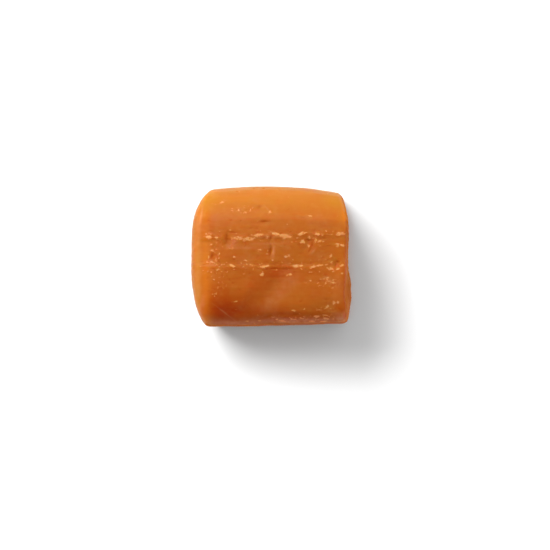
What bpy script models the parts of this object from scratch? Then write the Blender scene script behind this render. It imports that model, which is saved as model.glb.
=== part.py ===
"""One piece of caramel fudge, as it is unwrapped: a short length of drawn rope, cut off by a knife.

The rope runs along X. Its section is an uneven loaf: a broad shoulder at the back (+Y), a nearly level
top with two drawn ridges and a pressed band between them, a tighter shoulder at the front (-Y), and
sides that are widest at half height. The knife left a domed end at -X and a flat, lipped end at +X.
The piece is one solid that rests on the flat face at z = 0, with its origin in the middle of that face.
"""

import math

import bmesh
import bpy
import numpy as np
from mathutils import Vector, noise

MM = 0.001

# Driving sizes of the piece.
DOME_REACH = 12.28 * MM
CUT_REACH = 12.42 * MM
BACK_HALF_WIDTH = 11.12 * MM
FRONT_HALF_WIDTH = 10.65 * MM
HEIGHT = 12.4 * MM

# The rope's section: where it is highest and widest, and how square each shoulder is.
TOP_LINE_Y = 0.85 * MM
WIDEST_Z = 6.0 * MM
SUNK_BELOW_BASE = 0.5 * MM
BACK_SHOULDER_POWER = 2.2
FRONT_SHOULDER_POWER_AT_DOME = 3.0
FRONT_SHOULDER_POWER_AT_CUT = 4.8
FRONT_SHOULDER_CHANGE_SOFTNESS = 0.35
UNDERSIDE_POWER = 6.0
BEND_Y = 6.4 * MM
BEND_RISE = 0.24 * MM
BEND_HALF_WIDTH = 1.7 * MM

# The plan outline: how far each long side draws in towards the ends.
BACK_DRAW_IN_LEFT = 0.75 * MM
BACK_DRAW_IN_RIGHT = 1.25 * MM
FRONT_SKEW = 0.027
TOP_SAG_AT_ENDS = 0.35 * MM

# The two ends: the domed one at -X and the knife-cut one at +X.
END_EDGE_POWER = 38.0
DOME_TOP_EDGE_POWER = 13.0
DOME_PLAN_MIDDLE_Y = 0.9 * MM
DOME_PLAN_DEPTH_BACK = 3.85 * MM
DOME_PLAN_DEPTH_FRONT = 1.95 * MM
DOME_PLAN_POWER = 3.3
DOME_RISE_DEPTH = 3.9 * MM
DOME_RISE_POWER = 4.6
DOME_UNDERCUT_DEPTH = 1.6 * MM
DOME_UNDERCUT_POWER = 2.2
CUT_LEAN_BACK = 1.15 * MM
CUT_LEAN_FROM_Y = 5.8 * MM
CUT_LEAN_POWER = 1.5
CUT_HOLLOW_DEPTH = 0.25 * MM
CUT_RISE_DEPTH = 0.45 * MM
CUT_LEAN_FRONT = 0.3 * MM
CUT_LEAN_TO_Y = -9.0 * MM
LIP_REACH = 0.45 * MM
LIP_Y, LIP_Z = -5.4 * MM, 3.8 * MM
LIP_HALF_WIDTH, LIP_HALF_HEIGHT = 2.8 * MM, 2.6 * MM
SET_BACK_ABOVE_LIP = 0.28 * MM
SET_BACK_HALF_WIDTH = 2.0 * MM
SET_BACK_FROM_Z, SET_BACK_SOFTNESS = 6.8 * MM, 1.0 * MM

# The drawn ridges along the top, and the band that the wrapping roller pressed between them.
RIDGE_LINES_Y = (3.3 * MM, -1.4 * MM)
RIDGE_SLOPES = (0.034, -0.012)
RIDGE_HEIGHT = 0.2 * MM
RIDGE_HALF_WIDTH = 0.36 * MM
RIDGE_PIECE_LENGTH = 1.7 * MM
RIDGE_WANDER = 0.12 * MM
BAND_DEPTH = 0.1 * MM
BAND_SOFTNESS = 0.35 * MM

# The top's relief fades out where the skin turns down at the ends and sides.
TOP_FACES_FROM, TOP_FACES_SOFTNESS = 0.72, 0.09

# Faint lines that drawing the rope left along its whole skin, and its general unevenness.
DRAWN_LINE_HEIGHT = 0.045 * MM
DRAWN_LINE_PITCH = 1.3 * MM
UNEVENNESS = 0.11 * MM
UNEVEN_PITCH = 6.0 * MM

# All relief fades out towards the base, which lay on a flat table.
RELIEF_IN_FULL_AT_Z = 1.2 * MM

# How finely the block is sliced along each axis. Slices crowd at its edges and at the two ridges.
SLICES_X, SLICES_Y, SLICES_Z = 46, 46, 16
END_CROWDING, END_CROWD_WIDTH = 2.0, 0.09
SIDE_CROWDING, SIDE_CROWD_WIDTH = 0.7, 0.15
RIDGE_CROWDING, RIDGE_CROWD_WIDTH = 1.6, 0.07
SMALLEST_EDGE = 0.05 * MM


def clear_scene():
    for old in list(bpy.data.objects):
        bpy.data.objects.remove(old)


def bell(offset, half_width):
    """1 at no offset, falling smoothly to about 0.02 at two half widths."""
    return math.exp(-((offset / half_width) ** 2))


def step(value, softness):
    """0 well below zero and 1 well above it, with a soft rise between."""
    return 0.5 + 0.5 * math.tanh(value / softness)


# ---------------------------------------------------------------- the block of slices


def slice_places(count, crowds):
    """Cut places between -1 and 1, closer together around each crowd: (place, strength, half width)."""
    line = np.linspace(-1, 1, 2001)
    density = np.ones_like(line)
    for place, strength, half_width in crowds:
        density += strength * np.exp(-(((line - place) / half_width) ** 2))
    share = np.cumsum(density)
    share = (share - share[0]) / (share[-1] - share[0])
    return np.interp(np.arange(1, count) / count, share, line)


def sliced_block():
    """A block of side 2, cut into a grid whose lines are close where the fudge has detail."""
    block = bmesh.new()
    bmesh.ops.create_cube(block, size=2.0)
    ends = [(end, END_CROWDING, END_CROWD_WIDTH) for end in (-1, 1)]
    sides = [(side, SIDE_CROWDING, SIDE_CROWD_WIDTH) for side in (-1, 1)]
    ridges = []
    for line in RIDGE_LINES_Y:
        reach = BACK_HALF_WIDTH - TOP_LINE_Y if line > TOP_LINE_Y else FRONT_HALF_WIDTH + TOP_LINE_Y
        ridges.append(((line - TOP_LINE_Y) / reach, RIDGE_CROWDING, RIDGE_CROWD_WIDTH))
    cuts = (
        (Vector((1, 0, 0)), slice_places(SLICES_X, ends)),
        (Vector((0, 1, 0)), slice_places(SLICES_Y, sides + ridges)),
        (Vector((0, 0, 1)), slice_places(SLICES_Z, sides)),
    )
    for axis, places in cuts:
        for place in places:
            everything = block.verts[:] + block.edges[:] + block.faces[:]
            bmesh.ops.bisect_plane(
                block, geom=everything, dist=1e-6, plane_co=axis * place, plane_no=axis
            )
    return block


# ---------------------------------------------------------------- relief on the skin


def stroke(x, y, centre, angle, half_length, half_width):
    """A smooth mark of 1 at its centre, long along its angle (degrees from +X) and narrow across it."""
    dx, dy = x - centre[0] * MM, y - centre[1] * MM
    turn = math.radians(angle)
    along = dx * math.cos(turn) + dy * math.sin(turn)
    across = dy * math.cos(turn) - dx * math.sin(turn)
    return bell(along, half_length * MM) * bell(across, half_width * MM)


# Marks on the top: (centre, angle, half length, half width, height), in millimetres and degrees.
# A wrapper's creases pressed short nicks into the band.
WRAPPER_NICKS = (
    ((-6.7, 2.4), 84, 0.9, 0.32, -0.22),
    ((-9.2, -0.2), 60, 0.6, 0.40, -0.18),
    ((0.1, 1.1), 97, 1.1, 0.34, -0.22),
    ((5.8, 1.9), 66, 1.2, 0.36, -0.22),
    ((10.2, -0.9), 80, 0.7, 0.36, -0.22),
    ((-2.6, 0.2), 20, 0.8, 0.35, -0.10),
)
# One slanting line along which the front sank.
SLUMP_MIDDLE = (1.1 * MM, -4.3 * MM)
SLUMP_ANGLE = 50
SLUMP_DEPTH = 0.38 * MM
SLUMP_HALF_LENGTH = 4.6 * MM
SLUMP_NEAR_HALF_WIDTH = 1.7 * MM
SLUMP_BEYOND_HALF_WIDTH = 4.6 * MM
# The soft piece took broad folds and hollows while it was handled.
SOFT_FOLDS = (
    ((-3.6, -5.2), 58, 2.4, 0.8, 0.09),
    ((-7.0, -9.8), 4, 4.6, 2.9, -0.75),
    ((1.5, -9.5), 2, 4.0, 0.8, -0.22),
    ((-1.9, 7.7), 0, 0.9, 0.5, -0.12),
    ((-0.8, 5.5), 0, 1.2, 0.35, -0.12),
    ((5.0, 6.2), 3, 4.5, 1.1, 0.08),
    ((9.6, -7.6), 30, 1.1, 0.8, -0.16),
    ((-6.0, 6.6), -4, 3.6, 1.0, -0.08),
)


def marks_height(marks, x, y):
    return sum(
        rise * MM * stroke(x, y, centre, angle, half_length, half_width)
        for centre, angle, half_length, half_width, rise in marks
    )


def slump_height(x, y):
    """The front sank along one slanting line: steeply on the near side, and long drawn out beyond it."""
    dx, dy = x - SLUMP_MIDDLE[0], y - SLUMP_MIDDLE[1]
    turn = math.radians(SLUMP_ANGLE)
    along = dx * math.cos(turn) + dy * math.sin(turn)
    beyond = dx * math.sin(turn) - dy * math.cos(turn)
    half_width = SLUMP_BEYOND_HALF_WIDTH if beyond > 0 else SLUMP_NEAR_HALF_WIDTH
    return -SLUMP_DEPTH * bell(along, SLUMP_HALF_LENGTH) * bell(beyond, half_width)


def ridge_line(i, x):
    """Where ridge i runs, across the rope, at this place along it."""
    wander = RIDGE_WANDER * noise.noise((x / (5 * MM), 7.3 * i, 1.7))
    return RIDGE_LINES_Y[i] + RIDGE_SLOPES[i] * x + wander


def top_relief(x, y):
    """Ridges, pressed band and nicks, as seen from above."""
    height = 0.0
    for i in range(len(RIDGE_LINES_Y)):
        broken = 0.25 + noise.noise((x / RIDGE_PIECE_LENGTH, 11.1 * i, 4.9))
        height += RIDGE_HEIGHT * max(0.0, broken) * bell(y - ridge_line(i, x), RIDGE_HALF_WIDTH)
    below_upper = step(ridge_line(0, x) - y, BAND_SOFTNESS)
    above_lower = step(y - ridge_line(1, x), BAND_SOFTNESS)
    height -= BAND_DEPTH * below_upper * above_lower
    return height + marks_height(WRAPPER_NICKS, x, y)


def skin_relief(place):
    """Drawn lines along the rope and the unevenness of a soft, handled piece."""
    x, y, z = place
    drawn = noise.noise((x / (9 * DRAWN_LINE_PITCH), y / DRAWN_LINE_PITCH, z / DRAWN_LINE_PITCH))
    uneven = noise.fractal(place / UNEVEN_PITCH + Vector((3.1, 8.2, 0.4)), 1.0, 2.0, 2)
    return DRAWN_LINE_HEIGHT * drawn + UNEVENNESS * uneven


# ---------------------------------------------------------------- the rope's form


def front_shoulder_power(u):
    """The front shoulder is round near the domed end and squarer towards the cut."""
    towards_cut = step(u, FRONT_SHOULDER_CHANGE_SOFTNESS)
    change = FRONT_SHOULDER_POWER_AT_CUT - FRONT_SHOULDER_POWER_AT_DOME
    return FRONT_SHOULDER_POWER_AT_DOME + towards_cut * change


def section_point(u, v, w):
    """Where a point on the rim of the unit square lies on the rope's section, as (y, z)."""
    if w < 0:
        power = UNDERSIDE_POWER
    else:
        power = BACK_SHOULDER_POWER if v > 0 else front_shoulder_power(u)
    half_width = BACK_HALF_WIDTH - TOP_LINE_Y if v > 0 else FRONT_HALF_WIDTH + TOP_LINE_Y
    half_height = HEIGHT - WIDEST_Z if w > 0 else WIDEST_Z + SUNK_BELOW_BASE
    pull = (abs(v) ** power + abs(w) ** power) ** (-1 / power)
    return TOP_LINE_Y + half_width * v * pull, WIDEST_Z + half_height * w * pull


def domed_reach(y, z):
    """How far the domed end reaches from the middle at this height and side."""
    side = y - DOME_PLAN_MIDDLE_Y
    depth = DOME_PLAN_DEPTH_BACK if side > 0 else DOME_PLAN_DEPTH_FRONT
    in_plan = depth * (abs(side) / BACK_HALF_WIDTH) ** DOME_PLAN_POWER
    if z > WIDEST_Z:
        in_height = DOME_RISE_DEPTH * ((z - WIDEST_Z) / (HEIGHT - WIDEST_Z)) ** DOME_RISE_POWER
    else:
        in_height = DOME_UNDERCUT_DEPTH * ((WIDEST_Z - z) / WIDEST_Z) ** DOME_UNDERCUT_POWER
    return DOME_REACH - in_plan - in_height


def cut_reach(y, z):
    """How far the knife-cut end reaches: leaning back at its corners, hollowed, and lipped low down."""
    past_back = max(0.0, y - CUT_LEAN_FROM_Y) / (BACK_HALF_WIDTH - CUT_LEAN_FROM_Y)
    past_front = max(0.0, CUT_LEAN_TO_Y - y) / (FRONT_HALF_WIDTH + CUT_LEAN_TO_Y)
    lean = CUT_LEAN_BACK * past_back**CUT_LEAN_POWER + CUT_LEAN_FRONT * past_front**CUT_LEAN_POWER
    hollow = CUT_HOLLOW_DEPTH * bell(y, BACK_HALF_WIDTH / 2) * bell(z - WIDEST_Z, WIDEST_Z / 2)
    beside_lip = math.exp(-(((y - LIP_Y) / LIP_HALF_WIDTH) ** 4))
    lip = LIP_REACH * beside_lip * bell(z - LIP_Z, LIP_HALF_HEIGHT)
    above_lip = step(z - SET_BACK_FROM_Z, SET_BACK_SOFTNESS)
    set_back = SET_BACK_ABOVE_LIP * above_lip * bell(y - LIP_Y, SET_BACK_HALF_WIDTH)
    in_height = CUT_RISE_DEPTH * (max(0.0, z - WIDEST_Z) / (HEIGHT - WIDEST_Z)) ** 2
    return CUT_REACH - lean - hollow + lip - set_back - in_height


def side_scale(x, y):
    """How much a long side draws in at this place along the rope."""
    share = x / CUT_REACH
    if y < 0:
        return 1 - FRONT_SKEW * x / FRONT_HALF_WIDTH
    draw_in = BACK_DRAW_IN_LEFT if x < 0 else BACK_DRAW_IN_RIGHT
    return 1 - draw_in * share**2 / BACK_HALF_WIDTH


def end_edge_power(u, w, rim):
    """How tight the edge around an end is: tight everywhere but along the top of the domed end."""
    if u > 0 or w < 0 or rim == 0:
        return END_EDGE_POWER
    return END_EDGE_POWER + (DOME_TOP_EDGE_POWER - END_EDGE_POWER) * w / rim


def body_point(place):
    """Moves a point of the block's surface onto the smooth form of the fudge."""
    u, v, w = place
    rim = max(abs(v), abs(w))
    edge_power = end_edge_power(u, w, rim)
    pull = (abs(u) ** edge_power + rim**edge_power) ** (-1 / edge_power)
    along, spread = u * pull, rim * pull
    y, z = section_point(u, v / rim, w / rim) if rim > 0 else (TOP_LINE_Y, WIDEST_Z)
    y = TOP_LINE_Y + spread * (y - TOP_LINE_Y)
    z = WIDEST_Z + spread * (z - WIDEST_Z)
    x = along * (domed_reach(y, z) if u < 0 else cut_reach(y, z))
    if z > WIDEST_Z:
        bend = BEND_RISE * bell(y - BEND_Y, BEND_HALF_WIDTH)
        sag = TOP_SAG_AT_ENDS * along**4
        lift = bend - sag + slump_height(x, y) + marks_height(SOFT_FOLDS, x, y)
        z += lift * (z - WIDEST_Z) / (HEIGHT - WIDEST_Z)
    return Vector((x, y * side_scale(x, y), z))


def add_relief(body):
    body.normal_update()
    moves = {}
    for vert in body.verts:
        facing_up = step(vert.normal.z - TOP_FACES_FROM, TOP_FACES_SOFTNESS)
        above_base = min(1.0, max(0.0, vert.co.z / RELIEF_IN_FULL_AT_Z))
        height = skin_relief(vert.co) + facing_up * top_relief(vert.co.x, vert.co.y)
        moves[vert] = vert.normal * height * above_base
    for vert, move in moves.items():
        vert.co += move


def flatten_base(body):
    """Cuts off what hangs below z = 0 and closes the cut with one flat face."""
    everything = body.verts[:] + body.edges[:] + body.faces[:]
    bmesh.ops.bisect_plane(
        body, geom=everything, dist=1e-7, plane_co=(0, 0, 0), plane_no=(0, 0, -1), clear_outer=True
    )
    rim = [edge for edge in body.edges if edge.is_boundary]
    bmesh.ops.contextual_create(body, geom=rim)


def tidy_facets(body):
    """Welds corners that nearly touch, levels the base, and splits faces along their better diagonal."""
    bmesh.ops.remove_doubles(body, verts=body.verts, dist=SMALLEST_EDGE)
    for vert in body.verts:
        if vert.co.z < SMALLEST_EDGE:
            vert.co.z = 0
    bmesh.ops.triangulate(body, faces=body.faces, quad_method="BEAUTY", ngon_method="BEAUTY")


def centre_on_base(body):
    """Puts the origin under the middle of the piece."""
    xs = [vert.co.x for vert in body.verts]
    ys = [vert.co.y for vert in body.verts]
    middle = Vector(((min(xs) + max(xs)) / 2, (min(ys) + max(ys)) / 2, 0))
    bmesh.ops.translate(body, verts=body.verts, vec=-middle)


# ---------------------------------------------------------------- the object


def caramel():
    material = bpy.data.materials.new("caramel_fudge")
    material.use_nodes = True
    shader = material.node_tree.nodes["Principled BSDF"]
    shader.inputs["Base Color"].default_value = (0.56, 0.16, 0.03, 1)
    shader.inputs["Roughness"].default_value = 0.42
    shader.inputs["Metallic"].default_value = 0.0
    shader.inputs["Subsurface Weight"].default_value = 0.4
    shader.inputs["Subsurface Radius"].default_value = (3.0 * MM, 1.0 * MM, 0.3 * MM)
    shader.inputs["Subsurface Scale"].default_value = 1.0
    return material


def fudge_piece():
    body = sliced_block()
    for vert in body.verts:
        vert.co = body_point(vert.co)
    add_relief(body)
    flatten_base(body)
    tidy_facets(body)
    centre_on_base(body)
    bmesh.ops.recalc_face_normals(body, faces=body.faces)
    mesh = bpy.data.meshes.new("fudge")
    body.to_mesh(mesh)
    body.free()
    mesh.materials.append(caramel())
    mesh.shade_smooth()
    mesh.set_sharp_from_angle(angle=math.radians(50))
    return bpy.data.objects.new("fudge", mesh)


def main():
    clear_scene()
    parts = bpy.data.collections.new("fudge_parts")
    bpy.context.scene.collection.children.link(parts)
    parts.objects.link(fudge_piece())


main()
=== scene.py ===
"""Dresses one piece of caramel fudge: its skin, its colour, and a small studio to see it in."""

import math
from types import SimpleNamespace

import bmesh
import bpy
import numpy as np
from bpy.props import FloatProperty, FloatVectorProperty, IntProperty, PointerProperty
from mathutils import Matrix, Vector


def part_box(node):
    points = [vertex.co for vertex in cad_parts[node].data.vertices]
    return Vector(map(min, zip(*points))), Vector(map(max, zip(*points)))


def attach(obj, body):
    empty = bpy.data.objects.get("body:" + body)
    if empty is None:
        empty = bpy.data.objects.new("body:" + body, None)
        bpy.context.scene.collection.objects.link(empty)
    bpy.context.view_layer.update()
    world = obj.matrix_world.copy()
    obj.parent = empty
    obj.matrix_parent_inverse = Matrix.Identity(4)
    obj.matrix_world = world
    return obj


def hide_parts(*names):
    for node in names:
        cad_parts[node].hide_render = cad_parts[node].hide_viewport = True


bl_info = {
    "name": "Caramel Fudge Dresser",
    "version": (1, 0, 0),
    "blender": (4, 5, 0),
    "location": "View3D > Sidebar > Fudge",
    "description": "Builds the skin, flecks and studio of one piece of caramel fudge",
    "category": "Object",
}

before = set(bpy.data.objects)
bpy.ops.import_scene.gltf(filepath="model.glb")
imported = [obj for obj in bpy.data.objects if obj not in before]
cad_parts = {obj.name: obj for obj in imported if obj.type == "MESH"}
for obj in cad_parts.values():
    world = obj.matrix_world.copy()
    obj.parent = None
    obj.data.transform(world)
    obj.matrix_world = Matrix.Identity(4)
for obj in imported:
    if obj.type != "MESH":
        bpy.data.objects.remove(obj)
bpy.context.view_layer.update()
BOX_LOW, BOX_HIGH = (Vector(corner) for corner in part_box("fudge"))
PIECE_LENGTH = BOX_HIGH.x - BOX_LOW.x

MM = 0.001


# ---------------------------------------------------------------- settings


def length_property(name, description, millimetres):
    """A length that the sidebar shows in the scene's units."""
    return FloatProperty(
        name=name,
        description=description,
        default=millimetres * MM,
        unit="LENGTH",
        precision=6,
    )


def angle_property(name, description, degrees):
    """An angle that the sidebar shows in degrees."""
    return FloatProperty(
        name=name,
        description=description,
        default=math.radians(degrees),
        subtype="ANGLE",
        unit="ROTATION",
    )


def colour_property(name, description, red, green, blue):
    """An opaque colour, in linear light."""
    return FloatVectorProperty(
        name=name,
        description=description,
        subtype="COLOR",
        size=4,
        default=(red, green, blue, 1.0),
        min=0.0,
        max=1.0,
    )


class FudgeSkinSettings(bpy.types.PropertyGroup):
    """Sizes of the fine relief on the fudge."""

    fineness: IntProperty(
        name="Fineness",
        description="How many times the solid's faces are halved and smoothed",
        default=2,
        min=0,
        max=3,
    )
    seed: IntProperty(
        name="Seed",
        description="Picks one of the many uneven skins",
        default=11,
    )
    drawn_line_height: length_property(
        "Drawn line height", "Height of the fine lines that drawing the rope left on it", 0.016
    )
    drawn_line_pitch: length_property(
        "Drawn line pitch", "Distance from one drawn line to the next", 0.55
    )
    grain_height: length_property(
        "Grain height", "Height of the sugary grain where the skin is rough", 0.03
    )
    grain_size: length_property("Grain size", "Size of one sugary grain", 0.34)
    handled_height: length_property(
        "Handled height", "Height of the shallow waves that handling left on the sides", 0.05
    )
    score_height: length_property(
        "Score height", "Height of the curved scores that the knife left on the cut end", 0.09
    )
    fleck_height: length_property(
        "Fleck height", "How far the dry flecks along the ridges stand proud", 0.06
    )
    crevice_depth: length_property(
        "Crevice depth", "Depth of the small pits and crevices on the top", 0.14
    )


class FudgeColourSettings(bpy.types.PropertyGroup):
    """Colours and finish of the fudge."""

    pale_caramel: colour_property(
        "Pale caramel", "The caramel where it is palest", 0.412, 0.135, 0.010
    )
    deep_caramel: colour_property(
        "Deep caramel", "The caramel where it is darkest", 0.36, 0.043, 0.0008
    )
    # Lit and shaded copies of the caramel, painted light and shade: the back and the domed end face
    # the light, the front and the cut end face away from it.
    side_caramel: colour_property(
        "Side caramel", "The caramel on the back and on the domed end", 0.342, 0.119, 0.009
    )
    cut_caramel: colour_property(
        "Cut caramel", "The caramel on the front and on the cut end", 0.33, 0.074, 0.004
    )
    bright_caramel: colour_property(
        "Bright caramel", "The caramel where most light gathers in it", 0.52, 0.150, 0.005
    )
    # A painted glow of light shining through the caramel.
    honey: colour_property("Honey", "The caramel where light comes through it", 0.41, 0.149, 0.005)
    # A pale film, partly a painted sheen and highlight.
    film: colour_property("Film", "The dull film on handled skin", 0.56, 0.30, 0.14)
    # A painted sheen on the rims that turn towards the light.
    golden: colour_property(
        "Golden", "The rim of the back corners and of the dome", 0.385, 0.150, 0.004
    )
    # A pink tint, mostly a painted reflection of the floor on the steep rims.
    blush: colour_property("Blush", "The dull pink film along the front edge", 0.75, 0.27, 0.17)
    # The colour of pits and folds, partly painted shade.
    pit: colour_property("Pit", "The caramel in pits and folds", 0.38, 0.078, 0.001)
    fleck: colour_property("Fleck", "Dry sugar flecks", 0.56, 0.26, 0.082)
    thin_fleck: colour_property("Thin fleck", "Flecks where they are thin", 0.50, 0.175, 0.040)
    # Flecks with the painted pink reflection of the front edge.
    reflecting_fleck: colour_property("Damp fleck", "Flecks along the front edge", 0.70, 0.235, 0.080)
    roughness: FloatProperty(
        name="Roughness",
        description="Roughness of the waxy skin",
        default=0.45,
        min=0.0,
        max=1.0,
    )
    depth_of_glow: length_property(
        "Depth of glow", "How deep red light wanders in the caramel", 2.5
    )


class FudgeStudioSettings(bpy.types.PropertyGroup):
    """The pale floor, the soft light and the camera."""

    floor_colour: colour_property("Floor", "Colour of the floor", 0.9, 0.9, 0.9)
    key_elevation: angle_property(
        "Key elevation", "How high the soft light stands above the floor", 37.2
    )
    key_azimuth: angle_property(
        "Key azimuth", "Where the soft light stands, counted from +X towards +Y", 132.7
    )
    key_power: FloatProperty(
        name="Key power",
        description="Power of the soft light",
        default=17.1,
        unit="POWER",
    )
    fill_strength: FloatProperty(
        name="Fill",
        description="Brightness of the white room around the piece",
        default=0.56,
        min=0.0,
    )
    share_of_view: FloatProperty(
        name="Share of view",
        description="How much of the picture's width the piece takes up",
        default=0.2915,
        min=0.05,
        max=1.0,
    )


# ---------------------------------------------------------------- noise and shapes on arrays


# The noise repeats after this many cells.
NOISE_CELLS = 256
# Brings the noise to about -1 to 1.
NOISE_GAIN = 1.6


def lattice_noise(places, seed):
    """Smooth noise of about -1 to 1 at each row of places, one cell to a unit."""
    draw = np.random.RandomState(seed)
    table = draw.permutation(NOISE_CELLS)
    slopes = draw.normal(size=(NOISE_CELLS, 3))
    slopes /= np.linalg.norm(slopes, axis=1)[:, None]
    cell = np.floor(places).astype(int)
    within = places - cell
    fade = within**3 * (within * (within * 6 - 15) + 10)
    total = np.zeros(len(places))
    for corner in np.ndindex(2, 2, 2):
        x, y, z = ((cell + corner) % NOISE_CELLS).T
        slope = slopes[table[(table[(table[x] + y) % NOISE_CELLS] + z) % NOISE_CELLS]]
        weight = np.prod(np.where(corner, fade, 1 - fade), axis=1)
        total += weight * np.einsum("ij,ij->i", slope, within - corner)
    return NOISE_GAIN * total


def layered_noise(places, seed, layers, gain):
    """Lattice noise with finer layers added, each as strong as gain beside the one before it."""
    total, strength = np.zeros(len(places)), 1.0
    for layer in range(layers):
        total += strength * lattice_noise(places * 2.0**layer, seed + layer)
        strength *= gain
    return total


def rise(value, low, high):
    """0 below low and 1 above high, smooth between."""
    t = np.clip((value - low) / (high - low), 0, 1)
    return t * t * (3 - 2 * t)


# ---------------------------------------------------------------- marks on the top
#
# Each mark is (x, y, angle, half length, half width, strength): millimetres from the middle of the
# piece as seen from above, and degrees from the direction in which the rope was drawn.

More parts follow.
